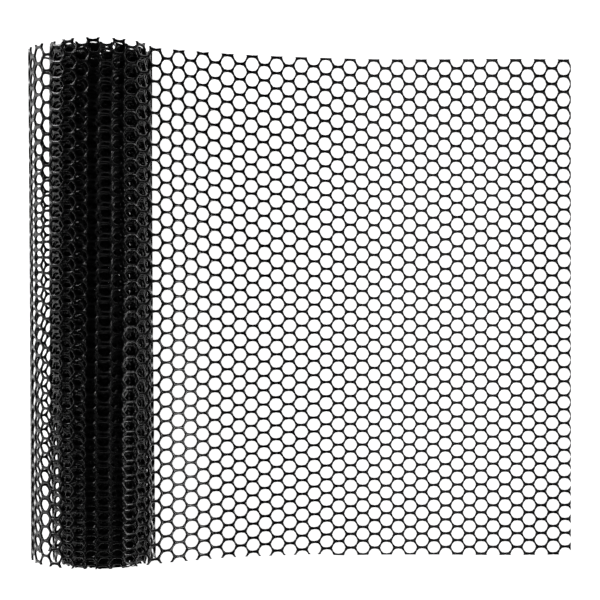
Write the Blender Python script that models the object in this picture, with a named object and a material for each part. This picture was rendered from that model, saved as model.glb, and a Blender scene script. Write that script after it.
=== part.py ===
"""Roll of hexagonal plastic garden mesh, with its loose end pulled out flat.

The strip is followed along its length from the cut end that lies on the ground:
flat, easing up, over the front of the roll, round a slack outer turn, along the
flat spot under the roll and into the tight winding.
X runs along the loose end, Y along the roll, Z up.  All sizes are in metres.
"""

import math

import bmesh
import bpy

# strip
STRIP_WIDTH = 0.400
STRIP_THICKNESS = 0.002
HALF = STRIP_THICKNESS / 2

# hexagonal mesh of the loose end, drawn at twice the pitch of the real one
HOLE_COLUMNS = 17
HOLES_PER_COLUMN = 17
STRUT_WIDTH = 0.0036
ROW_PITCH = (STRIP_WIDTH - STRUT_WIDTH) / (HOLES_PER_COLUMN + 0.5)
COLUMN_PITCH = ROW_PITCH * math.sqrt(3) / 2
HOLE_APOTHEM = (ROW_PITCH - STRUT_WIDTH) / 2
HOLE_RADIUS = HOLE_APOTHEM * 2 / math.sqrt(3)
CELL_RADIUS = HOLE_RADIUS + STRUT_WIDTH * 2 / math.sqrt(3)
CUT_DEPTH = ROW_PITCH / (2 * math.sqrt(3))
LOOSE_LENGTH = CELL_RADIUS + (HOLE_COLUMNS - 1) * COLUMN_PITCH + HOLE_RADIUS + STRUT_WIDTH

# the strip's way from its cut end: name, length, turn in degrees (positive lifts it)
WAY_TO_SLACK_SIDE = (
    ("cut end", 0.020, 4.0),
    ("low crown", 0.070, -8.0),
    ("settling", 0.020, 4.0),
    ("flat on the ground", 0.029, 0.0),
    ("lifting", 0.045, 9.0),
    ("long ramp", 0.040, 2.0),
    ("ramp", 0.035, 4.0),
    ("steeper ramp", 0.040, 11.0),
    ("up to the roll", 0.022, 6.0),
    ("steepest", 0.022, 10.0),
    ("against the roll", 0.017, 0.0),
    ("over the front", 0.031, -42.0),
    ("top of the roll", 0.022, -8.0),
    ("slack side", 0.060, -82.0),
)
FLAT_SPOT = 0.023
STRIP_STEP = 0.0045

# tight winding
WINDING_RADIUS = 0.0376
LAYER = 0.0018
BORE_RADIUS = 0.009
BORE_SIDES = 24
TURN_STEP = math.radians(6)
NOTCH_ANGLE = math.radians(347)

# lie of the roll: its far end sits a little to the left of its near end
LEAN = 0.0015
LEAN_STARTS = 0.160
LEAN_IS_FULL = 0.330

# welds
WELD = 1e-6


def clear_scene():
    """Remove every object that the file holds."""
    for item in list(bpy.data.objects):
        bpy.data.objects.remove(item, do_unlink=True)


def black_plastic():
    """Moulded black polyethylene with a low sheen."""
    material = bpy.data.materials.new("black_polyethylene")
    material.use_nodes = True
    shader = material.node_tree.nodes["Principled BSDF"]
    shader.inputs["Base Color"].default_value = (0.012, 0.012, 0.013, 1.0)
    shader.inputs["Roughness"].default_value = 0.42
    shader.inputs["Metallic"].default_value = 0.0
    return material


def follow(way, distance):
    """Return x, z and heading of the centre line at a distance from the cut end.

    Heading 0 runs towards -X and a positive heading climbs.
    """
    x, z, heading = 0.0, HALF, 0.0
    left = distance
    for _, length, degrees in way:
        run = min(left, length)
        turn = math.radians(degrees) * run / length
        if turn == 0.0:
            x -= run * math.cos(heading)
            z += run * math.sin(heading)
        else:
            radius = run / turn
            x -= radius * (math.sin(heading + turn) - math.sin(heading))
            z += radius * (math.cos(heading) - math.cos(heading + turn))
        heading += turn
        left -= run
        if left <= 0.0:
            break
    return x, z, heading


def way_length(way):
    """Return the length of the strip along a way."""
    return sum(length for _, length, _ in way)


def whole_way():
    """Return the way with its underside, whose bend brings the strip down to the ground."""
    _, height, _ = follow(WAY_TO_SLACK_SIDE, way_length(WAY_TO_SLACK_SIDE))
    bend = (height - HALF) * math.pi / 2
    return WAY_TO_SLACK_SIDE + (("slack underside", bend, -90.0), ("flat spot", FLAT_SPOT, 0.0))


WAY = whole_way()
WAY_END = way_length(WAY)


def beside(distance, offset):
    """Return x and z beside the centre line, positive towards the strip's upper side."""
    x, z, heading = follow(WAY, distance)
    return x + offset * math.sin(heading), z + offset * math.cos(heading)


def filled_outline(name, outlines, depth):
    """Fill closed outlines, the later ones as holes, to a slab centred on its plane."""
    curve = bpy.data.curves.new(name, "CURVE")
    curve.dimensions = "2D"
    curve.fill_mode = "BOTH"
    curve.extrude = depth / 2
    for outline in outlines:
        spline = curve.splines.new("POLY")
        spline.points.add(len(outline) - 1)
        for point, (across, up) in zip(spline.points, outline):
            point.co = (across, up, 0.0, 1.0)
        spline.use_cyclic_u = True
    guide = bpy.data.objects.new(name, curve)
    bpy.context.scene.collection.objects.link(guide)
    evaluated = guide.evaluated_get(bpy.context.evaluated_depsgraph_get())
    mesh = bpy.data.meshes.new_from_object(evaluated)
    bpy.data.objects.remove(guide, do_unlink=True)
    form = bmesh.new()
    form.from_mesh(mesh)
    bpy.data.meshes.remove(mesh)
    bmesh.ops.remove_doubles(form, verts=form.verts, dist=WELD)
    return form


def hexagon(column_at, row_at):
    """Return the six corners of a hole that has level sides along the strip."""
    corners = []
    for step in range(6):
        angle = math.radians(60 * step)
        corners.append((column_at + HOLE_RADIUS * math.cos(angle), row_at + HOLE_RADIUS * math.sin(angle)))
    return corners


def edge_notch(column_at, side):
    """Return the half hole that is left open at the long edge on a side, +1 or -1."""
    edge = side * STRIP_WIDTH / 2
    middle = side * (STRIP_WIDTH - STRUT_WIDTH) / 2
    deep = middle - side * HOLE_APOTHEM
    return [
        (column_at - HOLE_RADIUS, edge),
        (column_at - HOLE_RADIUS, middle),
        (column_at - HOLE_RADIUS / 2, deep),
        (column_at + HOLE_RADIUS / 2, deep),
        (column_at + HOLE_RADIUS, middle),
        (column_at + HOLE_RADIUS, edge),
    ]


def cut_end():
    """Return the zigzag of the free end, from the far edge to the near one, round its last cells."""
    first_tip = (STRIP_WIDTH - STRUT_WIDTH - ROW_PITCH) / 2
    zigzag = [(CUT_DEPTH, STRIP_WIDTH / 2)]
    for row in range(HOLES_PER_COLUMN):
        tip = first_tip - ROW_PITCH * row
        zigzag += [(0.0, tip), (CUT_DEPTH, tip - ROW_PITCH / 2)]
    return zigzag + [(0.0, -(STRIP_WIDTH - STRUT_WIDTH) / 2), (0.0, -STRIP_WIDTH / 2)]


def loose_end():
    """The pulled out stretch: a flat slab of mesh, bent along the strip's way."""
    far_edge = []
    near_edge = []
    holes = []
    for column in range(HOLE_COLUMNS):
        column_at = CELL_RADIUS + COLUMN_PITCH * column
        closed_at_far_edge = column % 2 == 0
        first_row = (STRIP_WIDTH - STRUT_WIDTH) / 2 - ROW_PITCH * (0.5 if closed_at_far_edge else 1.0)
        holes += [hexagon(column_at, first_row - ROW_PITCH * row) for row in range(HOLES_PER_COLUMN)]
        if closed_at_far_edge:
            near_edge += edge_notch(column_at, -1)
        else:
            far_edge += edge_notch(column_at, 1)
    rim = [(LOOSE_LENGTH, STRIP_WIDTH / 2), (LOOSE_LENGTH, -STRIP_WIDTH / 2)]
    outline = far_edge + rim + near_edge[::-1] + cut_end()[::-1]
    form = filled_outline("loose_end", [outline] + holes, STRIP_THICKNESS)
    level = [face for face in form.faces if abs(face.normal.z) > 0.5]
    inner = [edge for edge in form.edges if all(abs(face.normal.z) > 0.5 for face in edge.link_faces)]
    bmesh.ops.beautify_fill(form, faces=level, edges=inner, method="ANGLE")
    for vertex in form.verts:
        along, across, offset = vertex.co
        x, z = beside(along, offset)
        vertex.co = (x, across, z)
    return form


def roll_section():
    """Return the section's outline: slack outer turn and tight winding in one, then the bore."""
    steps = round((WAY_END - LOOSE_LENGTH) / STRIP_STEP)
    stations = [LOOSE_LENGTH + (WAY_END - LOOSE_LENGTH) * step / steps for step in range(steps + 1)]
    outer_side = [beside(station, HALF) for station in stations]

    centre_x, ground_z, _ = follow(WAY, WAY_END)
    centre_z = ground_z + WINDING_RADIUS
    angles = [TURN_STEP * step for step in range(1, int(NOTCH_ANGLE / TURN_STEP) + 1)] + [NOTCH_ANGLE]
    winding = []
    for angle in angles:
        radius = WINDING_RADIUS + HALF - LAYER * angle / math.tau
        winding.append((centre_x + radius * math.sin(angle), centre_z - radius * math.cos(angle)))

    notch_station = WAY_END - (centre_x - winding[-1][0])
    inner_stations = [station for station in stations if station < notch_station - STRIP_STEP / 2]
    inner_side = [beside(station, -HALF) for station in inner_stations + [notch_station]]

    bore = []
    for side in range(BORE_SIDES):
        angle = math.tau * side / BORE_SIDES
        bore.append((centre_x + BORE_RADIUS * math.cos(angle), centre_z + BORE_RADIUS * math.sin(angle)))
    return outer_side + winding + inner_side[::-1], bore


def wound_roll():
    """The roll: its section drawn out over the strip's width."""
    outline, bore = roll_section()
    form = filled_outline("wound_roll", [outline, bore], STRIP_WIDTH)
    for vertex in form.verts:
        x, z, across = vertex.co
        vertex.co = (x, across, z)
    return form


def smooth_step(value, low, high):
    """Ease from 0 at low to 1 at high."""
    share = min(max((value - low) / (high - low), 0.0), 1.0)
    return share * share * (3 - 2 * share)


def join_forms(name, forms, material):
    """Weld forms that share a rim to one closed body, and centre it over the origin."""
    whole = bmesh.new()
    for form in forms:
        piece = bpy.data.meshes.new(name)
        form.to_mesh(piece)
        form.free()
        whole.from_mesh(piece)
        bpy.data.meshes.remove(piece)
    rim_x = [beside(LOOSE_LENGTH, offset)[0] for offset in (-HALF, HALF)]
    rim_z = [beside(LOOSE_LENGTH, offset)[1] for offset in (-HALF, HALF)]

    def on_rim(vertex):
        return any(
            abs(vertex.co.x - x) < WELD * 2 and abs(vertex.co.z - z) < WELD * 2 for x, z in zip(rim_x, rim_z)
        )

    shared = [face for face in whole.faces if all(on_rim(vertex) for vertex in face.verts)]
    bmesh.ops.delete(whole, geom=shared, context="FACES")
    bmesh.ops.remove_doubles(whole, verts=whole.verts, dist=WELD * 5)
    for vertex in whole.verts:
        lean = LEAN * smooth_step(-vertex.co.x, LEAN_STARTS, LEAN_IS_FULL)
        vertex.co.x -= lean * vertex.co.y / (STRIP_WIDTH / 2)
    left = min(vertex.co.x for vertex in whole.verts)
    right = max(vertex.co.x for vertex in whole.verts)
    bmesh.ops.translate(whole, verts=whole.verts, vec=(-(left + right) / 2, 0.0, 0.0))
    bmesh.ops.recalc_face_normals(whole, faces=whole.faces)
    mesh = bpy.data.meshes.new(name)
    whole.to_mesh(mesh)
    whole.free()
    mesh.materials.append(material)
    mesh.shade_smooth()
    mesh.set_sharp_from_angle(angle=math.radians(30))
    return bpy.data.objects.new(name, mesh)


def main():
    clear_scene()
    collection = bpy.data.collections.new("garden_mesh_roll")
    bpy.context.scene.collection.children.link(collection)
    roll = join_forms("mesh_roll", (loose_end(), wound_roll()), black_plastic())
    collection.objects.link(roll)


main()
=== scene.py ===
import logging
import math
from dataclasses import dataclass, field, replace
from enum import Enum

import bmesh
import bpy
import numpy as np
from mathutils import Matrix, Vector


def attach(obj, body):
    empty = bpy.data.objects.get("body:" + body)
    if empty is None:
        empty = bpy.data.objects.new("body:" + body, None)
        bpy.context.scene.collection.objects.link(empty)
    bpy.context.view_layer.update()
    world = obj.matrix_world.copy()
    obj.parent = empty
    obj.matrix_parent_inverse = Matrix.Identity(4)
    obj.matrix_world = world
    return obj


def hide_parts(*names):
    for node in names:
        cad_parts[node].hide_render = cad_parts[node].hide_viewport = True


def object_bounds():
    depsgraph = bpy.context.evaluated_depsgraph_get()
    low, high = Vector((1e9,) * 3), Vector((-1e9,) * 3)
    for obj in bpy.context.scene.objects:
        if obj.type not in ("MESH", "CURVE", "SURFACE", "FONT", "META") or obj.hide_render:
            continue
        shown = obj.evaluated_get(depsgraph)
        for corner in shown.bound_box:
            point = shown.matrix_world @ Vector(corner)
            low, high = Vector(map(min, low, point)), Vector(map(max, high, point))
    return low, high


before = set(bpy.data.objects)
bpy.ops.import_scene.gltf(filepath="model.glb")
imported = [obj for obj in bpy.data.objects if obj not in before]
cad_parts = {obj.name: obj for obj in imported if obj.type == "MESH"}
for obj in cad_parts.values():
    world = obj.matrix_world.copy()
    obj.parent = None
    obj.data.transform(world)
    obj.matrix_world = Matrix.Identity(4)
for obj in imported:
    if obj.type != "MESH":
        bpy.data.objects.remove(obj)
cad_low, cad_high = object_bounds()

LOG = logging.getLogger("garden_mesh_roll")

BODY = "root"
CAD_NODE = "mesh_roll"

# How far apart two points of a net may lie and still be one, in metres.
WELD = 1e-6

# Half the strip's width, in metres.
HALF_WIDTH = 0.2

# How many rows and columns of the flat net lie past a piece, to be cut away.
SPARE = 2

# The column of holes at which the slack turn has come down to the ground.
SLACK_ENDS = 52.0

# The columns among which the roll's top is looked for, the length before the winding in which it is
# looked for along the strip, in metres, and in how many steps.
TOP_COLUMNS = (30.0, 80.0)
TOP_LENGTH = 0.25
FINE_STEPS = 5001

# Sockets that Blender knows by their place alone: the Mix node's for colours, and the Object
# coordinates of Texture Coordinate.
MIX_FACTOR = 0
MIX_FIRST = 6
MIX_SECOND = 7
MIX_COLOUR = 2
OBJECT_COORDINATES = 3

# What a Noise Texture gives on average.
NOISE_MEAN = 0.5

WHITE = (1.0, 1.0, 1.0, 1.0)


def smooth_step(value: np.ndarray, start: float, end: float) -> np.ndarray:
    """Gives 0 up to start, 1 from end on, and an even curve between them."""
    part = np.clip((value - start) / (end - start), 0.0, 1.0)
    return part * part * (3.0 - 2.0 * part)


@dataclass(frozen=True)
class Rise:
    """A change that comes on and stays.

    Attributes:
        size: How much it is once it is whole.
        start: Where it starts.
        end: Where it is whole.
    """

    size: float
    start: float
    end: float

    def at(self, value: np.ndarray) -> np.ndarray:
        """Gives how much of the change is there."""
        return self.size * smooth_step(value, self.start, self.end)


@dataclass(frozen=True)
class Swell:
    """A change that comes on and goes again.

    Attributes:
        size: How much it is at its middle.
        middle: Where its middle is.
        reach: How far from there it ends on either side.
    """

    size: float
    middle: float
    reach: float

    def at(self, value: np.ndarray) -> np.ndarray:
        """Gives how much of the change is there."""
        return self.size * (1.0 - smooth_step(np.abs(value - self.middle), 0.0, self.reach))


Changes = tuple[Rise | Swell, ...]


def added(base: float | np.ndarray, changes: Changes, value: np.ndarray) -> np.ndarray:
    """Adds changes to what is there before them.

    Args:
        base: What is there before them.
        changes: The changes.
        value: Where they are looked at.

    Returns:
        The sum at each value.
    """
    for change in changes:
        base = base + change.at(value)
    return base


@dataclass(frozen=True)
class Wave:
    """An even wave over two measures of the net.

    Attributes:
        first: How far it goes on with each unit of the first measure, in radians.
        second: How far it goes on with each unit of the second.
        start: Where in its round it starts, in radians.
    """

    first: float = 0.0
    second: float = 0.0
    start: float = 0.0

    def at(self, one: np.ndarray, other: np.ndarray) -> np.ndarray:
        """Gives the wave, from -1 to 1."""
        return np.sin(self.first * one + self.second * other + self.start)


@dataclass(frozen=True)
class RowStray:
    """How far some rows stray towards the near edge on their way along the strip.

    Attributes:
        along: How far, by the distance along the strip.
        rows: Which share of that each row takes, by the row.
        at_end: How far at the free cut end.
    """

    along: Changes
    rows: Changes
    at_end: float = 0.0

    def at(self, run: np.ndarray, row: np.ndarray) -> np.ndarray:
        """Gives how far each row strays."""
        return added(self.at_end, self.along, run) * added(0.0, self.rows, row)


@dataclass(frozen=True)
class Lean:
    """How a length of the roll lies askew, seen from above.

    Attributes:
        tilt: How far its far end lies towards -X, and its near end towards +X.
        bow: How far its middle lies towards -X.
    """

    tilt: float
    bow: float

    def at(self, side: np.ndarray) -> np.ndarray:
        """Gives how far it lies towards -X, from the near edge at -1 to the far one at 1."""
        return self.tilt * side + self.bow * (1.0 - side**2)


class Detail(Enum):
    """How finely a length of the mesh is made."""

    SHOWN = 1
    BURIED = 0


@dataclass(frozen=True)
class Stretch:
    """A length of the strip that bends evenly.

    Attributes:
        name: What this length is.
        length: Its length in metres.
        turn: How far it turns, in degrees; a positive turn lifts the strip.
    """

    name: str
    length: float
    turn: float


WAY_TO_SLACK_SIDE = (
    Stretch("cut end", 0.020, 4.0),
    Stretch("low crown", 0.070, -8.0),
    Stretch("settling", 0.020, 4.0),
    Stretch("flat on the ground", 0.029, 0.0),
    Stretch("lifting", 0.045, 9.0),
    Stretch("long ramp", 0.040, 2.0),
    Stretch("ramp", 0.035, 4.0),
    Stretch("steeper ramp", 0.040, 11.0),
    Stretch("up to the roll", 0.022, 6.0),
    Stretch("steepest", 0.022, 10.0),
    Stretch("against the roll", 0.017, 0.0),
    Stretch("over the front", 0.035, -47.7),
    Stretch("top of the roll", 0.0175, -8.0),
    Stretch("slack shoulder", 0.030, -36.7),
    Stretch("slack side", 0.0352, -39.6),
)


@dataclass
class StripWay:
    """The way of the strip, seen from the side, from its free cut end to the middle of the roll.

    The strip runs towards -X from its free end, up a ramp, over the roll, down its slack side,
    along the flat spot and into the tight winding, a spiral with its turns one layer apart.

    Attributes:
        end_x: Where the free cut end lies along X.
        half: Half the thickness of the strands.
        flat_spot: The length that lies flat under the roll.
        winding_radius: The winding's radius at its outer end, to the middle of the strands.
        layer: The distance from one turn to the next.
        core_radius: The radius of the innermost turn.
        settle: How much wider than high the winding has settled.
        taper: How much tighter its inner turns are at their near end.
        inner_turns: How its inner turns begin, by the length already wound.
        near_end: How its near end begins, from its middle at 0 to the near edge at 1.
        roll_lean: How the whole roll lies askew.
        roll_begins: How the roll begins, by the distance from the free end along X.
        winding_lean: How much more askew the winding lies in it.
        winding_begins: How the winding begins, by the length already wound.
        stretches: The stretches before the winding.
        starts: The run, x, z and heading at which each of them starts.
    """

    end_x: float
    half: float = 0.0009
    flat_spot: float = 0.030
    winding_radius: float = 0.0381
    layer: float = 0.00185
    core_radius: float = 0.0095
    settle: float = 1.05
    taper: float = 0.10
    inner_turns: Rise = Rise(1.0, 0.20, 0.34)
    near_end: Rise = Rise(1.0, 0.1, 0.9)
    roll_lean: Lean = Lean(0.00115, -0.00023)
    roll_begins: Rise = Rise(1.0, 0.160, 0.330)
    winding_lean: Lean = Lean(0.00040, 0.00138)
    winding_begins: Rise = Rise(1.0, -0.05, 0.02)
    stretches: list[Stretch] = field(default_factory=list)
    starts: list[tuple[float, float, float, float]] = field(default_factory=list)

    def __post_init__(self) -> None:
        """Works out where each stretch starts."""
        run, x, z, heading = 0.0, 0.0, self.half, 0.0
        for stretch in WAY_TO_SLACK_SIDE:
            run, x, z, heading = self.append(stretch, run, x, z, heading)
        under = Stretch("slack underside", (z - self.half) * math.pi / 2.0, -90.0)
        run, x, z, heading = self.append(under, run, x, z, heading)
        spot = Stretch("flat spot", self.flat_spot, 0.0)
        self.length, self.core_x, _, _ = self.append(spot, run, x, z, heading)
        self.core_z = self.half + self.winding_radius

    def append(
        self, stretch: Stretch, run: float, x: float, z: float, heading: float
    ) -> tuple[float, float, float, float]:
        """Adds a stretch to the way.

        Args:
            stretch: The stretch to add.
            run: The strip's length before it.
            x: Where it starts along X, from the free end.
            z: Its height there.
            heading: Its heading there, in radians; 0 is towards -X.

        Returns:
            The run, x, z and heading at its end.
        """
        LOG.debug("%s: from %.3f m", stretch.name, run)
        self.stretches.append(stretch)
        self.starts.append((run, x, z, heading))
        ends = self.along(stretch, x, z, heading, np.array([stretch.length]))
        return (run + stretch.length, *(float(values[0]) for values in ends))

    @staticmethod
    def along(
        stretch: Stretch, x: float, z: float, heading: float, local: np.ndarray
    ) -> tuple[np.ndarray, np.ndarray, np.ndarray]:
        """Follows one stretch.

        Args:
            stretch: The stretch to follow.
            x: Where it starts along X.
            z: Its height there.
            heading: Its heading there, in radians.
            local: Distances from its start.

        Returns:
            The x, z and heading at each distance.
        """
        if stretch.turn == 0.0:
            return (
                x - local * math.cos(heading),
                z + local * math.sin(heading),
                np.full_like(local, heading),
            )
        radius = stretch.length / math.radians(stretch.turn)
        turned = heading + local / radius
        return (
            x - radius * (np.sin(turned) - math.sin(heading)),
            z + radius * (math.cos(heading) - np.cos(turned)),
            turned,
        )

    def winding_angle(self, wound: np.ndarray) -> np.ndarray:
        """Gives the angle that a length of the spiral has wound through.

        Args:
            wound: Distances from the start of the winding.

        Returns:
            The angles in radians, 0 at the bottom.
        """
        fall = self.layer / (2.0 * math.pi)
        left = np.maximum(self.winding_radius**2 - 2.0 * fall * wound, self.core_radius**2)
        return (self.winding_radius - np.sqrt(left)) / fall

    def tops(self) -> list[float]:
        """Finds where the strip passes over the winding's middle.

        Returns:
            The runs at which it does, outermost first.
        """
        over_it = np.linspace(self.length - TOP_LENGTH, self.length, FINE_STEPS)
        x, z, _ = self.section(over_it)
        outside = np.where(z > self.core_z, np.abs(x - self.core_x), np.inf)
        runs = [float(over_it[np.argmin(outside)])]
        fall = self.layer / (2.0 * math.pi)
        angle = math.pi
        while self.winding_radius - fall * angle > self.core_radius:
            runs.append(self.length + self.winding_radius * angle - fall * angle**2 / 2.0)
            angle += 2.0 * math.pi
        return runs

    def section(self, run: np.ndarray) -> tuple[np.ndarray, np.ndarray, np.ndarray]:
        """Gives the strip's middle line.

        Args:
            run: Distances along the strip from its free cut end.

        Returns:
            The x (from the free end), z and heading at each distance.
        """
        x = np.zeros_like(run)
        z = np.zeros_like(run)
        heading = np.zeros_like(run)
        last = len(self.stretches) - 1
        for index, (stretch, start) in enumerate(zip(self.stretches, self.starts)):
            low = -np.inf if index == 0 else start[0]
            high = self.length if index == last else start[0] + stretch.length
            here = (run >= low) & (run < high)
            x[here], z[here], heading[here] = self.along(
                stretch, start[1], start[2], start[3], run[here] - start[0]
            )
        here = run >= self.length
        angle = self.winding_angle(run[here] - self.length)
        radius = self.winding_radius - self.layer * angle / (2.0 * math.pi)
        x[here] = self.core_x + radius * np.sin(angle)
        z[here] = self.core_z - radius * np.cos(angle)
        heading[here] = -math.pi - angle
        return x, z, heading

    def place(self, run: np.ndarray, across: np.ndarray, above: np.ndarray) -> np.ndarray:
        """Takes points of the flat strip to their places on the roll.

        Args:
            run: Distances along the strip.
            across: Distances across it, from its middle line.
            above: Distances from the middle of its thickness.

        Returns:
            The points, one row each.
        """
        x, z, heading = self.section(run)
        side = across / HALF_WIDTH
        wound = run - self.length
        lean = self.roll_begins.at(-x) * self.roll_lean.at(side)
        lean = lean + self.winding_begins.at(wound) * self.winding_lean.at(side)
        tight = 1.0 - self.taper * self.inner_turns.at(wound) * self.near_end.at(-side)
        wide = np.where(run < self.length, 1.0, self.settle)
        x = self.core_x + wide * tight * (x - self.core_x)
        z = self.half + tight * (z - self.half)
        return np.column_stack(
            (
                self.end_x + x + above * np.sin(heading) - lean,
                across,
                z + above * np.cos(heading),
            )
        )


@dataclass(frozen=True)
class HexagonNet:
    """The moulded net: rows of six-sided holes, each column half a row beside the last.

    Attributes:
        row_pitch: The distance across the strip from one hole to the next.
        column_pitch: The distance along it from one column of holes to the next.
        rows: How many rows lie between the outermost struts of the strip's two edges.
        strut_half: Half the width of the struts that run along the strip.
        leg_half: Half the width of the slanting legs.
        thickness: How thick the strands are along their middle.
        rim: The share of it that is left at a hole's rim.
        shoulder: The same share at the strands' shoulders.
        shoulder_place: How far from the middle to the rim the shoulders lie.
        fillet: How far the corners beside a strut are filled.
        side_fillet: How far a hole's two pointed corners are filled.
        edge: Where the struts of the first row lie across the strip.
        past_edge: How many rows past the far edge the flat net starts.
    """

    row_pitch: float = 0.01152
    column_pitch: float = 0.00998
    rows: float = 34.5
    strut_half: float = 0.00088
    leg_half: float = 0.00063
    thickness: float = 0.0018
    rim: float = 0.62
    shoulder: float = 0.92
    shoulder_place: float = 0.55
    fillet: float = 0.00057
    side_fillet: float = 0.00055
    edge: float = 0.1993
    past_edge: float = 1.5

    def inset(self, net: bmesh.types.BMesh, hole: bmesh.types.BMFace, share: float, height: float) -> None:
        """Draws the hole's outline in by a share of the strands' half width.

        Args:
            net: The frame of one hole.
            hole: The face inside the frame.
            share: How much of the half width it is drawn in.
            height: The height of the new outline, as a share of half the thickness.
        """
        bmesh.ops.inset_individual(net, faces=[hole], thickness=share * self.leg_half)
        for corner in hole.verts:
            corner.co.z = height * self.thickness / 2.0
            beside_strut = abs(corner.co.y) > self.row_pitch / 4.0
            off_middle = abs(corner.co.x) > self.row_pitch / 8.0
            pointed = abs(corner.co.x) > 0.45 * self.row_pitch
            if beside_strut:
                corner.co.y -= math.copysign(share * (self.strut_half - self.leg_half), corner.co.y)
            if pointed or (beside_strut and off_middle):
                depth = share * (self.fillet if beside_strut else self.side_fillet)
                flat = Vector((corner.co.x, corner.co.y, 0.0))
                corner.co -= flat.normalized() * depth

    def ring(self, detail: Detail) -> bmesh.types.BMesh:
        """Makes the frame of one hole, half a strand wide all round.

        Args:
            detail: How finely it is made.

        Returns:
            The frame, open along its outer outline, where the next frames join.
        """
        cell = bmesh.new()
        bmesh.ops.create_circle(cell, cap_ends=True, segments=6, radius=self.row_pitch / math.sqrt(3.0))
        struts_along = Matrix.Rotation(math.radians(30.0), 3, "Z")
        bmesh.ops.rotate(cell, verts=cell.verts, cent=(0, 0, 0), matrix=struts_along)
        stretch = self.column_pitch / (self.row_pitch * math.sqrt(0.75))
        bmesh.ops.scale(cell, vec=(stretch, 1.0, 1.0), verts=cell.verts)
        bmesh.ops.translate(cell, vec=(0.0, 0.0, self.thickness / 2.0), verts=cell.verts)
        if detail is Detail.SHOWN:
            bmesh.ops.subdivide_edges(cell, edges=cell.edges, cuts=1)
        hole = next(iter(cell.faces))
        if detail is Detail.SHOWN:
            self.inset(cell, hole, self.shoulder_place, self.shoulder)
            self.inset(cell, hole, 1.0 - self.shoulder_place, self.rim)
        else:
            self.inset(cell, hole, 1.0, self.rim)
        rim = hole.edges[:]
        bmesh.ops.delete(cell, geom=[hole], context="FACES_ONLY")
        half = bmesh.ops.duplicate(cell, geom=cell.verts[:] + cell.edges[:] + cell.faces[:])
        lower = [element for element in half["geom"] if isinstance(element, bmesh.types.BMVert)]
        bmesh.ops.scale(cell, vec=(1.0, 1.0, -1.0), verts=lower)
        faces = [element for element in half["geom"] if isinstance(element, bmesh.types.BMFace)]
        bmesh.ops.reverse_faces(cell, faces=faces)
        bmesh.ops.bridge_loops(cell, edges=rim + [half["edge_map"][edge] for edge in rim])
        return cell

    @staticmethod
    def repeat(net: bmesh.types.BMesh, count: int, step: Vector) -> None:
        """Repeats all of a net in a row.

        Args:
            net: The net so far.
            count: How many there are in the end.
            step: From each one to the next.
        """
        first = net.verts[:] + net.edges[:] + net.faces[:]
        for place in range(1, count):
            made = bmesh.ops.duplicate(net, geom=first)["geom"]
            points = [element for element in made if isinstance(element, bmesh.types.BMVert)]
            bmesh.ops.translate(net, vec=step * place, verts=points)

    def flat(self, columns: int, detail: Detail) -> bmesh.types.BMesh:
        """Lays frames side by side to a flat net, a little past both edges of the strip.

        Args:
            columns: How many columns of holes.
            detail: How finely it is made.

        Returns:
            The net, with x the columns and y the rows, the first row's struts at y 0.
        """
        net = self.ring(detail)
        bmesh.ops.translate(net, vec=(0.0, self.row_pitch * self.past_edge, 0.0), verts=net.verts)
        self.repeat(net, 2, Vector((self.column_pitch, -self.row_pitch / 2.0, 0.0)))
        self.repeat(net, math.ceil(self.rows) + SPARE, Vector((0.0, -self.row_pitch, 0.0)))
        bmesh.ops.remove_doubles(net, verts=net.verts, dist=WELD)
        self.repeat(net, (columns + 1) // 2, Vector((2.0 * self.column_pitch, 0.0, 0.0)))
        bmesh.ops.remove_doubles(net, verts=net.verts, dist=WELD)
        return net


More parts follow.
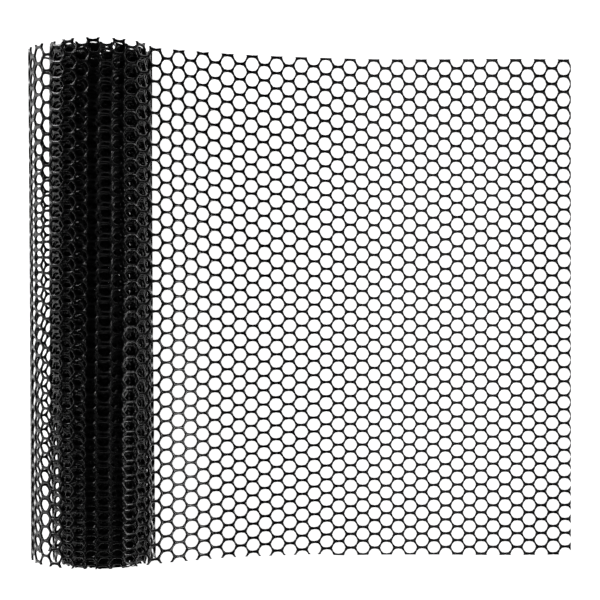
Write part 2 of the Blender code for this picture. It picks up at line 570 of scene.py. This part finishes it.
@dataclass(frozen=True)
class HandOfTheNet:
    """How the real net strays from an even one, in the plane of the strip.

    A run is a distance along the strip from its free cut end. Rows are counted from the far edge,
    and a side goes from -1 at the near edge to 1 at the far one.

    Attributes:
        first_column: Where the first column of holes lies, from the free cut end.
        flat_pitch: The columns' pitch on the ground, where the net has crept together.
        ramp_pitch: Their pitch from the ramp on.
        creep_ends: The column at which the one gives way to the other.
        creep_over: Over how many columns it does.
        end_skew: How much further along the columns lie at the far edge of the cut end.
        end_skew_gone: The run at which that has evened out.
        skews: How the columns' skew changes with the run.
        climb: How far the strip is drawn up over the front of the roll.
        shifts: How much further along the columns lie, by the run.
        side_shifts: How much further along they lie, by the side.
        wobble: How far the columns wobble.
        wobble_along: How the wobble goes on from column to column.
        wobble_across: How it goes on across the strip.
        wave: How far the columns wave from edge to edge.
        waves: How that changes with the run.
        wave_rounds: How far the wave goes on from the middle to an edge, in radians.
        top_shift: How much further along the columns lie on the winding's outermost top.
        top_crowding: How much closer they lie there.
        top_reach: How far that reaches.
        row_crowding: The rows' mean pitch, against that of the moulded net.
        row_fall: How much tighter the rows are at the near edge, against the mean.
        row_bow: How far the middle rows are tighter than an even fall gives.
        ripple: How much the rows' pitch swells and shrinks at the far edge.
        ripple_fades: How much of that is gone at the near edge.
        ripple_rows: Over how many rows it does.
        ripple_crest: The first row at which it is widest.
        side_limit: The side past which the net strays no further.
        narrowing: How much narrower the strip is where it is drawn tight over the roll.
        tightening: How tight that is.
        creeps: How far the strip has crept towards the far edge, by the run.
        winding_loosens: How the winding's turns come loose, by the run.
        far_end_holds: How much less loose they are at their far end, by the side.
        loose_run: How far the loose turns stray along the strip.
        loose_run_grows: How much more the inner ones do.
        loose_run_wave: How they stray back and forth along it.
        loose_aside: How far they stray across it.
        loose_aside_grows: How much more the inner ones do.
        loose_aside_wave: How they stray back and forth across it.
        sunk: How far the inner turns have slid towards the near end of the roll.
        far_cut: Where the strip was cut along its far edge.
        far_cuts: How that cut strays.
        near_cut: Where the strip was cut along its near edge.
        near_cuts: How that cut strays.
        near_rows: Which share of the near half's stray each row takes.
        near_stray: How far the near half strays towards the near edge, by the run.
        last_rows_held: How much less the last rows do.
        last_rows: How much wider the last rows lie all along.
        other_strays: How other rows stray.
        slack_stray: How far all rows stray on the slack turn.
        columns: Columns of holes at chosen places of the winding.
        runs: Where those columns lie along the strip.
    """

    first_column: float = 0.0054
    flat_pitch: float = 0.00956
    ramp_pitch: float = 0.01002
    creep_ends: float = 16.0
    creep_over: float = 3.0
    end_skew: float = 0.00065
    end_skew_gone: float = 0.33
    skews: Changes = (
        Rise(-0.00256, 0.300, 0.372),
        Rise(-0.0006, 0.210, 0.280),
        Rise(0.0006, 0.330, 0.370),
        Swell(0.0009, 0.362, 0.020),
    )
    climb: Rise = Rise(0.00315, 0.300, 0.372)
    shifts: Changes = (
        Swell(0.0003, 0.060, 0.040),
        Swell(-0.0008, 0.193, 0.060),
        Rise(0.0008, 0.270, 0.310),
        Rise(0.0010, 0.345, 0.368),
        Rise(-0.0018, 0.382, 0.405),
        Rise(0.0005, 0.0, 0.035),
        Swell(-0.0003, 0.165, 0.030),
    )
    side_shifts: Changes = (Swell(0.0004, 0.75, 0.25), Swell(-0.0004, 0.38, 0.30))
    wobble: float = 0.00022
    wobble_along: Wave = Wave(0.47, 2.1)
    wobble_across: Wave = Wave(0.0, 5.3, 0.6)
    wave: float = 0.0002
    waves: Changes = (Rise(0.00045, 0.160, 0.270), Rise(-0.00045, 0.330, 0.370))
    wave_rounds: float = 6.7
    top_shift: float = 0.0004
    top_crowding: float = 0.075
    top_reach: float = 0.070
    row_crowding: float = 0.9988
    row_fall: float = 0.270
    row_bow: float = 0.133
    ripple: float = 0.045
    ripple_fades: float = 0.7
    ripple_rows: float = 9.5
    ripple_crest: float = 3.0
    side_limit: float = 1.05
    narrowing: float = 0.0140
    tightening: Changes = (Rise(1.0, 0.270, 0.370), Rise(-0.6, 0.410, 0.450))
    creeps: Changes = (
        Swell(0.0005, 0.195, 0.055),
        Swell(0.0008, 0.328, 0.040),
        Rise(0.00035, 0.320, 0.370),
    )
    winding_loosens: Rise = Rise(1.0, 0.560, 0.700)
    far_end_holds: Rise = Rise(0.75, 0.75, 0.95)
    loose_run: float = 0.0010
    loose_run_grows: Rise = Rise(2.2, 0.8, 1.4)
    loose_run_wave: Wave = Wave(37.0, 1.3)
    loose_aside: float = 0.0008
    loose_aside_grows: Rise = Rise(3.5, 0.75, 1.0)
    loose_aside_wave: Wave = Wave(23.0, 0.0, 0.8)
    sunk: Rise = Rise(0.0032, 0.73, 0.86)
    far_cut: float = 0.2004
    far_cuts: Changes = (
        Rise(-0.0012, 0.300, 0.350),
        Rise(0.0016, 0.380, 0.450),
        Rise(0.0023, 0.560, 0.620),
    )
    near_cut: float = -0.2000
    near_cuts: Changes = (
        Rise(0.0018, 0.180, 0.212),
        Rise(0.0008, 0.220, 0.300),
        Rise(0.0017, 0.300, 0.370),
        Rise(0.0008, 0.560, 0.620),
    )
    near_rows: Changes = (Rise(0.45, 13.0, 20.0), Rise(0.55, 23.0, 29.5))
    near_stray: Changes = (
        Rise(0.00165, 0.060, 0.160),
        Rise(-0.0007, 0.210, 0.260),
        Rise(0.0012, 0.290, 0.345),
    )
    last_rows_held: RowStray = RowStray((Swell(-0.0008, 0.180, 0.120),), (Rise(1.0, 28.0, 32.0),))
    last_rows: Rise = Rise(0.0009, 26.0, 34.5)
    other_strays: tuple[RowStray, ...] = (
        RowStray(
            (Rise(-0.0008, 0.190, 0.240), Rise(-0.0004, 0.330, 0.370)),
            (Rise(1.0, 0.5, 4.0), Rise(-1.0, 14.0, 21.0)),
        ),
        RowStray((Rise(-0.0006, 0.100, 0.160),), (Swell(1.0, 4.5, 4.0),)),
        RowStray((Rise(-0.0012, 0.380, 0.440),), (Swell(1.0, 20.5, 6.0),)),
        RowStray(
            (Rise(0.0016, 0.070, 0.130), Rise(-0.0007, 0.250, 0.330)),
            (Swell(1.0, 12.5, 6.0),),
            at_end=-0.0016,
        ),
    )
    slack_stray: Changes = (Rise(-0.0021, 0.440, 0.510), Rise(0.0057, 0.560, 0.620))
    columns: tuple[float, ...] = ()
    runs: tuple[float, ...] = ()

    def nested(self, way: StripWay) -> "HandOfTheNet":
        """Gives each turn an even number of columns, so that their holes meet over its middle.

        Args:
            way: The way of the strip.

        Returns:
            The same hand, with the columns' places on the winding.
        """
        along = np.linspace(*TOP_COLUMNS, FINE_STEPS)
        tops = way.tops()
        free = self.run(along, np.zeros_like(along))
        slack_end = float(np.interp(SLACK_ENDS, along, free))
        column = float(np.interp(tops[0], free, along))
        columns, runs = [SLACK_ENDS], [slack_end]
        for before, after in zip(tops, tops[1:]):
            column += 2.0 * round((after - before) / (2.0 * self.ramp_pitch))
            columns.append(column)
            runs.append(after)
        columns.append(columns[-1] + 2.0)
        runs.append(runs[-1] + 2.0 * self.ramp_pitch)
        return replace(self, columns=tuple(columns), runs=tuple(runs))

    def spaced(
        self, column: np.ndarray, row: np.ndarray, net: HexagonNet
    ) -> tuple[np.ndarray, np.ndarray]:
        """Spaces points of an even net as they are in the real one.

        Args:
            column: The column of each point.
            row: Its row.
            net: The net.

        Returns:
            The run of each point, and its distance from the strip's middle line.
        """
        side = np.clip(1.0 - 2.0 * row / net.rows, -self.side_limit, self.side_limit)
        run = self.run(column, side)
        across = net.edge - self.across(row, net.rows, net.row_pitch * self.row_crowding)
        across = across - self.strayed(run, row)
        return run, self.narrowed(run) * across + self.drift(run, side)

    def run(self, column: np.ndarray, side: np.ndarray) -> np.ndarray:
        """Gives the distance along the strip.

        Args:
            column: The column, counted from the free end.
            side: From -1 at the near edge to 1 at the far one.

        Returns:
            The distances from the free cut end.
        """
        past = (column - self.creep_ends) / self.creep_over
        eased = self.creep_over * np.logaddexp(0.0, past)
        run = self.first_column + self.flat_pitch * column
        run = run + (self.ramp_pitch - self.flat_pitch) * eased
        skew = self.end_skew * (1.0 - np.clip(run / self.end_skew_gone, 0.0, 1.0))
        skew = added(skew, self.skews, run)
        run = run + self.climb.at(run)
        shift = added(added(0.0, self.shifts, run), self.side_shifts, side)
        wobble = self.wobble * self.wobble_along.at(column, side) * self.wobble_across.at(column, side)
        wobble = wobble - added(self.wave, self.waves, run) * np.cos(self.wave_rounds * (1.0 - side))
        if self.columns:
            run = np.where(column > self.columns[0], np.interp(column, self.columns, self.runs), run)
            from_top = run - self.runs[1]
            near_top = Swell(1.0, 0.0, self.top_reach).at(from_top)
            shift = shift + (self.top_shift - self.top_crowding * from_top) * near_top
        stray = self.loose(run, side) * self.loose_run * (1.0 + self.loose_run_grows.at(run))
        return run + shift + skew * side + wobble + stray * self.loose_run_wave.at(run, side)

    def middle_run(self, column: int) -> float:
        """Gives the run of a column on the strip's middle line."""
        return float(self.run(np.array([float(column)]), np.zeros(1))[0])

    def loose(self, run: np.ndarray, side: np.ndarray) -> np.ndarray:
        """Gives how loosely the strip lies in the winding, from 0 to 1."""
        return self.winding_loosens.at(run) * (1.0 - self.far_end_holds.at(side))

    def drift(self, run: np.ndarray, side: np.ndarray) -> np.ndarray:
        """Gives how far the strip has crept towards its far edge on its way up the roll."""
        stray = self.loose(run, side) * self.loose_aside * (1.0 + self.loose_aside_grows.at(run))
        return added(0.0, self.creeps, run) + stray * self.loose_aside_wave.at(run, side)

    def far_edge(self, run: np.ndarray) -> np.ndarray:
        """Gives where the strip was cut along its far edge."""
        return added(self.far_cut, self.far_cuts, run) - self.sunk.at(run)

    def near_edge(self, run: np.ndarray) -> np.ndarray:
        """Gives where the strip was cut along its near edge."""
        return added(self.near_cut, self.near_cuts, run) - self.sunk.at(run)

    def strayed(self, run: np.ndarray, row: np.ndarray) -> np.ndarray:
        """Gives how far a row strays towards the near edge on its way along the strip.

        Args:
            run: Distances from the free cut end.
            row: The row, counted from the far edge.

        Returns:
            The distances.
        """
        near = added(0.0, self.near_stray, run) + self.last_rows_held.at(run, row)
        strayed = self.last_rows.at(row) + near * added(0.0, self.near_rows, row)
        for stray in self.other_strays:
            strayed = strayed + stray.at(run, row)
        return added(strayed, self.slack_stray, run) + self.sunk.at(run)

    def narrowed(self, run: np.ndarray) -> np.ndarray:
        """Gives the strip's width there, as a share of its width on the ground."""
        return 1.0 - self.narrowing * added(0.0, self.tightening, run)

    def across(self, row: np.ndarray, rows: float, pitch: float) -> np.ndarray:
        """Gives the distance from the first row.

        Args:
            row: The row, counted from the far edge.
            rows: How many rows there are.
            pitch: Their mean pitch.

        Returns:
            The distances, growing towards the near edge.
        """
        part = row / rows
        start = 1.0 + self.row_fall / 2.0 - self.row_bow / 3.0
        even = start * part - self.row_fall * part**2 / 2.0 + self.row_bow * part**3 / 3.0
        swell = 2.0 * math.pi / self.ripple_rows
        size = self.ripple * (1.0 - self.ripple_fades * np.clip(part, 0.0, 1.0)) / swell
        ripple = size * (np.sin(swell * (row - self.ripple_crest)) + math.sin(swell * self.ripple_crest))
        return pitch * (rows * even + ripple)


def read_points(mesh: bpy.types.Mesh) -> np.ndarray:
    """Reads a mesh's points.

    Args:
        mesh: The mesh.

    Returns:
        The points, one row each.
    """
    points = np.empty(len(mesh.vertices) * 3)
    mesh.vertices.foreach_get("co", points)
    return points.reshape(-1, 3)


def move_points(mesh: bpy.types.Mesh, points: np.ndarray) -> None:
    """Moves a mesh's points to new places, one row each."""
    mesh.vertices.foreach_set("co", points.ravel())


@dataclass
class MeshPiece:
    """One length of the rolled strip.

    Attributes:
        name: The piece's name.
        first: The column of holes at whose middle it starts; below 0 at the free cut end.
        last: The column at whose middle it ends.
        detail: How finely it is made.
        held: How the length is held; not used.
    """

    name: str
    first: int
    last: int
    detail: Detail
    held: str

    def build(
        self, way: StripWay, net: HexagonNet, hand: HandOfTheNet, finish: bpy.types.Material
    ) -> bpy.types.Object:
        """Args:
            way: The way of the strip.
            net: The net it is made of.
            hand: How the net strays.
            finish: Its material.

        Returns:
            The piece.
        """
        low = 0.0 if self.first < 0 else hand.middle_run(self.first)
        high = hand.middle_run(self.last)
        mesh = self.cut_flat(net, hand, low, high)
        points = read_points(mesh)
        far, near = hand.far_edge(points[:, 0]), hand.near_edge(points[:, 0])
        across = (far + near + (far - near) * points[:, 1] / net.edge) / 2.0
        move_points(mesh, way.place(points[:, 0], across, points[:, 2]))
        # The strip runs towards -X, which turns its faces inside out.
        mesh.flip_normals()
        mesh.update()
        mesh.materials.append(finish)
        piece = bpy.data.objects.new(self.name, mesh)
        bpy.context.scene.collection.objects.link(piece)
        end = np.array([high])
        self.declare(piece, float((hand.far_edge(end) - hand.near_edge(end))[0]), high - low)
        return piece

    def cut_flat(self, net: HexagonNet, hand: HandOfTheNet, low: float, high: float) -> bpy.types.Mesh:
        """Makes a flat net, spaces it as the real one is and cuts the piece out of it.

        Args:
            net: The net it is made of.
            hand: How the net strays.
            low: The run at which the piece starts.
            high: The run at which it ends.

        Returns:
            The flat piece, with x the run and z the height. Its y is drawn straight, so that both
            cut edges lie at the net's own edge.
        """
        start = max(self.first, 0) - SPARE
        start -= start % 2
        work = net.flat(self.last - start + SPARE, self.detail)
        for face in work.faces:
            face.smooth = self.detail is Detail.SHOWN
        mesh = bpy.data.meshes.new(self.name)
        work.to_mesh(mesh)
        points = read_points(mesh)
        column = points[:, 0] / net.column_pitch + start
        run, across = hand.spaced(column, -points[:, 1] / net.row_pitch, net)
        far, near = hand.far_edge(run), hand.near_edge(run)
        straight = (2.0 * across - far - near) / (far - near)
        move_points(mesh, np.column_stack((run, straight * net.edge, points[:, 2])))
        work.clear()
        work.from_mesh(mesh)
        self.trim(work, Vector((0.0, net.edge, 0.0)), Vector((0.0, 1.0, 0.0)))
        self.trim(work, Vector((0.0, -net.edge, 0.0)), Vector((0.0, -1.0, 0.0)))
        self.trim(work, Vector((low, 0.0, 0.0)), Vector((-1.0, 0.0, 0.0)))
        self.trim(work, Vector((high, 0.0, 0.0)), Vector((1.0, 0.0, 0.0)))
        work.to_mesh(mesh)
        work.free()
        return mesh

    @staticmethod
    def trim(net: bmesh.types.BMesh, point: Vector, outwards: Vector) -> None:
        """Cuts the flat net along a straight line and closes the cut strands.

        Args:
            net: The flat net.
            point: A point of the cut.
            outwards: The side that falls away.
        """
        cut = bmesh.ops.bisect_plane(
            net,
            geom=net.verts[:] + net.edges[:] + net.faces[:],
            dist=WELD,
            plane_co=point,
            plane_no=outwards,
            clear_outer=True,
        )["geom_cut"]
        edges = [element for element in cut if isinstance(element, bmesh.types.BMEdge)]
        for edge in edges:
            edge.smooth = False
        bmesh.ops.holes_fill(net, edges=edges, sides=0)

    def declare(self, piece: bpy.types.Object, width: float, length: float) -> None:
        """Hangs the piece on its body, hides the CAD part that it stands for, and reports it.

        Args:
            piece: The finished piece.
            width: The width of its strip; not used.
            length: The length of its strip.
        """
        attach(piece, BODY)
        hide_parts(CAD_NODE)
        LOG.info("%s: %.3f m of strip, %d faces", self.name, length, len(piece.data.polygons))


class ShaderValue:
    """A socket of a shader, so that sums on it can be written as Python expressions."""

    def __init__(self, nodes: "ShaderNodes", socket: bpy.types.NodeSocket | None) -> None:
        """Wraps a socket of the given nodes."""
        self.nodes = nodes
        self.socket = socket

    def math(self, operation: str, first: object, second: object) -> "ShaderValue":
        """Adds one Math node that works on two numbers or sockets."""
        return self.nodes.add("ShaderNodeMath", {"operation": operation}, {0: first, 1: second})

    def __add__(self, other: object) -> "ShaderValue":
        """Adds a number or a socket."""
        return self.math("ADD", self, other)

    __radd__ = __add__

    def __sub__(self, other: object) -> "ShaderValue":
        """Takes away a number or a socket."""
        return self.math("SUBTRACT", self, other)

    def __rsub__(self, other: object) -> "ShaderValue":
        """Takes this away from a number."""
        return self.math("SUBTRACT", other, self)

    def __mul__(self, other: object) -> "ShaderValue":
        """Multiplies by a number or a socket."""
        return self.math("MULTIPLY", self, other)

    __rmul__ = __mul__


class ShaderNodes:
    """The nodes of one material."""

    def __init__(self, material: bpy.types.Material) -> None:
        """Empties a material's node tree and keeps it.

        Args:
            material: The material.
        """
        material.use_nodes = True
        self.tree = material.node_tree
        self.tree.nodes.clear()

    def add(
        self, kind: str, settings: dict[str, object], values: dict[object, object], output: int = 0
    ) -> ShaderValue:
        """Adds any node.

        Args:
            kind: The node's type.
            settings: Its own settings, set first.
            values: The number, colour or link of each socket, by its name or place.
            output: Which of its outputs is meant.

        Returns:
            That output.
        """
        node = self.tree.nodes.new(kind)
        for name, setting in settings.items():
            setattr(node, name, setting)
        for name, value in values.items():
            if isinstance(value, ShaderValue):
                self.tree.links.new(value.socket, node.inputs[name])
            else:
                node.inputs[name].default_value = value
        return ShaderValue(self, node.outputs[output] if node.outputs else None)


@dataclass(frozen=True)
class BlackPolyethylene:
    """Black moulded polyethylene with a satin skin.

    Attributes:
        dark: The plastic's own black.
        worn: The greyer black where it has been handled.
        roughness: How rough the skin is.
        roughness_spread: How much that changes from patch to patch.
        grain_spread: How much it changes with the grain.
        patch_scale: How close the handled patches lie.
        patch_detail: How ragged they are.
        grain_scale: How fine the grain of the skin is.
        grain_detail: How ragged it is.
        relief: How strongly the grain stands out.
        relief_depth: How deep it is, in metres.
        refraction: The plastic's index of refraction.
    """

    dark: tuple[float, float, float] = (0.0020, 0.0020, 0.0021)
    worn: tuple[float, float, float] = (0.0045, 0.0045, 0.0047)
    roughness: float = 0.17
    roughness_spread: float = 0.08
    grain_spread: float = 0.10
    patch_scale: float = 55.0
    patch_detail: float = 3.0
    grain_scale: float = 1400.0
    grain_detail: float = 2.0
    relief: float = 0.18
    relief_depth: float = 0.0002
    refraction: float = 1.5

    def material(self) -> bpy.types.Material:
        """Makes the material.

        Returns:
            The material.
        """
        made = bpy.data.materials.new("black_polyethylene_strand")
        nodes = ShaderNodes(made)
        place = nodes.add("ShaderNodeTexCoord", {}, {}, output=OBJECT_COORDINATES)
        patches = nodes.add(
            "ShaderNodeTexNoise",
            {},
            {"Vector": place, "Scale": self.patch_scale, "Detail": self.patch_detail},
        )
        grain = nodes.add(
            "ShaderNodeTexNoise",
            {},
            {"Vector": place, "Scale": self.grain_scale, "Detail": self.grain_detail},
        )
        colour = nodes.add(
            "ShaderNodeMix",
            {"data_type": "RGBA"},
            {MIX_FACTOR: patches, MIX_FIRST: (*self.dark, 1.0), MIX_SECOND: (*self.worn, 1.0)},
            output=MIX_COLOUR,
        )
        roughness = self.roughness + self.roughness_spread * (patches - NOISE_MEAN)
        roughness = roughness + self.grain_spread * (grain - NOISE_MEAN)
        relief = nodes.add(
            "ShaderNodeBump",
            {},
            {"Strength": self.relief, "Distance": self.relief_depth, "Height": grain},
        )
        skin = nodes.add(
            "ShaderNodeBsdfPrincipled",
            {},
            {"Base Color": colour, "Roughness": roughness, "Normal": relief, "IOR": self.refraction},
        )
        nodes.add("ShaderNodeOutputMaterial", {}, {"Surface": skin})
        return made


@dataclass(frozen=True)
class PaleFloor:
    """The plain pale floor under the part.

    Attributes:
        reach: Half its width.
        colour: Its colour.
        roughness: How matt it is.
        glow: Its own light, which keeps it evenly pale.
    """

    reach: float = 40.0
    colour: tuple[float, float, float, float] = (0.85, 0.85, 0.85, 1.0)
    roughness: float = 0.9
    glow: float = 1.0

    def finish(self) -> bpy.types.Material:
        """Makes the floor's material.

        Returns:
            The material.
        """
        made = bpy.data.materials.new("pale_floor")
        nodes = ShaderNodes(made)
        skin = nodes.add(
            "ShaderNodeBsdfPrincipled",
            {},
            {
                "Base Color": self.colour,
                "Roughness": self.roughness,
                "Emission Color": WHITE,
                "Emission Strength": self.glow,
            },
        )
        nodes.add("ShaderNodeOutputMaterial", {}, {"Surface": skin})
        return made

    def build(self) -> bpy.types.Object:
        """Makes the floor.

        Returns:
            The floor.
        """
        ground = bmesh.new()
        bmesh.ops.create_grid(ground, x_segments=1, y_segments=1, size=self.reach)
        mesh = bpy.data.meshes.new("pale_floor")
        ground.to_mesh(mesh)
        ground.free()
        mesh.materials.append(self.finish())
        floor = bpy.data.objects.new("pale_floor", mesh)
        bpy.context.scene.collection.objects.link(floor)
        return floor


@dataclass(frozen=True)
class SoftLight:
    """One soft area light.

    Attributes:
        name: Its name.
        place: Where it hangs.
        size: Its width and height.
        power: Its power in watts.
        aim: The point that it is turned to.
        spread: How wide it shines, in degrees.
    """

    name: str
    place: tuple[float, float, float]
    size: tuple[float, float]
    power: float
    aim: tuple[float, float, float] = (0.0, 0.0, 0.03)
    spread: float = 180.0

    def build(self) -> bpy.types.Object:
        """Hangs the light and turns it.

        Returns:
            The light.
        """
        data = bpy.data.lights.new(self.name, "AREA")
        data.shape = "RECTANGLE"
        data.size, data.size_y = self.size
        data.energy = self.power
        data.spread = math.radians(self.spread)
        light = bpy.data.objects.new(self.name, data)
        light.location = self.place
        towards = Vector(self.aim) - Vector(self.place)
        light.rotation_euler = towards.to_track_quat("-Z", "Y").to_euler()
        bpy.context.scene.collection.objects.link(light)
        return light


@dataclass(frozen=True)
class Studio:
    """The soft light round the part.

    Attributes:
        lights: The lights.
        room_light: How bright the room is apart from them.
    """

    lights: tuple[SoftLight, ...] = (
        SoftLight("overhead_light", (0.24, 0.0, 1.2), (0.95, 0.44), 0.06, (0.13, 0.0, 0.0), 34.0),
        SoftLight("far_left_light", (-1.35, 0.95, 0.85), (0.35, 0.35), 13.0),
        SoftLight("right_light", (1.30, -0.28, 0.90), (0.25, 0.25), 4.5),
        SoftLight("left_light", (-1.2, -0.4, 0.7), (1.2, 0.12), 1.2),
    )
    room_light: float = 0.02

    def build(self) -> None:
        """Hangs the lights and sets the room's own light."""
        for light in self.lights:
            light.build()
        world = bpy.data.worlds.new("soft_studio")
        world.use_nodes = True
        backdrop = world.node_tree.nodes["Background"]
        backdrop.inputs["Color"].default_value = WHITE
        backdrop.inputs["Strength"].default_value = self.room_light
        bpy.context.scene.world = world
        bpy.context.scene.view_settings.view_transform = "Standard"


@dataclass(frozen=True)
class TopCamera:
    """The camera, straight above the part.

    Attributes:
        place: Where it stands.
        lens: Its focal length in millimetres.
        sensor_width: The width of its sensor in millimetres.
    """

    place: tuple[float, float, float] = (-0.0026, 0.0058, 1.05)
    lens: float = 77.8
    sensor_width: float = 36.0

    def build(self) -> bpy.types.Object:
        """Makes the camera and looks through it.

        Returns:
            The camera.
        """
        data = bpy.data.cameras.new("top_camera")
        data.lens = self.lens
        data.sensor_width = self.sensor_width
        camera = bpy.data.objects.new("top_camera", data)
        camera.location = self.place
        bpy.context.scene.collection.objects.link(camera)
        bpy.context.scene.camera = camera
        return camera


@dataclass
class RolledMesh:
    """The whole roll, in lengths short enough to be handled one by one.

    Attributes:
        way: The way of the strip.
        net: The net it is made of.
        hand: How the net strays.
    """

    way: StripWay
    net: HexagonNet = field(default_factory=HexagonNet)
    hand: HandOfTheNet = field(default_factory=HandOfTheNet)

    def pieces(self) -> list[MeshPiece]:
        """Lists the lengths.

        Returns:
            The lengths, from the free cut end to the middle of the roll.
        """
        last = int(self.hand.columns[-1])
        return [
            MeshPiece("mesh_loose_end", -1, 34, Detail.SHOWN, "laid"),
            MeshPiece("mesh_slack_turn", 34, 56, Detail.SHOWN, "folded"),
            MeshPiece("mesh_winding_outer_turns", 56, 90, Detail.SHOWN, "folded"),
            MeshPiece("mesh_winding_next_turns", 90, 124, Detail.SHOWN, "folded"),
            MeshPiece("mesh_winding_middle_turns", 124, 208, Detail.BURIED, "folded"),
            MeshPiece("mesh_winding_inner_turns", 208, last, Detail.BURIED, "folded"),
        ]

    def build(self, finish: bpy.types.Material) -> list[bpy.types.Object]:
        """Builds every length in the given material."""
        return [piece.build(self.way, self.net, self.hand, finish) for piece in self.pieces()]


def main() -> None:
    """Builds the camera, the floor, the lights and the roll."""
    logging.basicConfig(level=logging.INFO, format="%(name)s: %(message)s")
    TopCamera().build()
    PaleFloor().build()
    Studio().build()
    way = StripWay(end_x=cad_high[0])
    roll = RolledMesh(way, hand=HandOfTheNet().nested(way))
    roll.build(BlackPolyethylene().material())


if __name__ == "__main__":
    main()
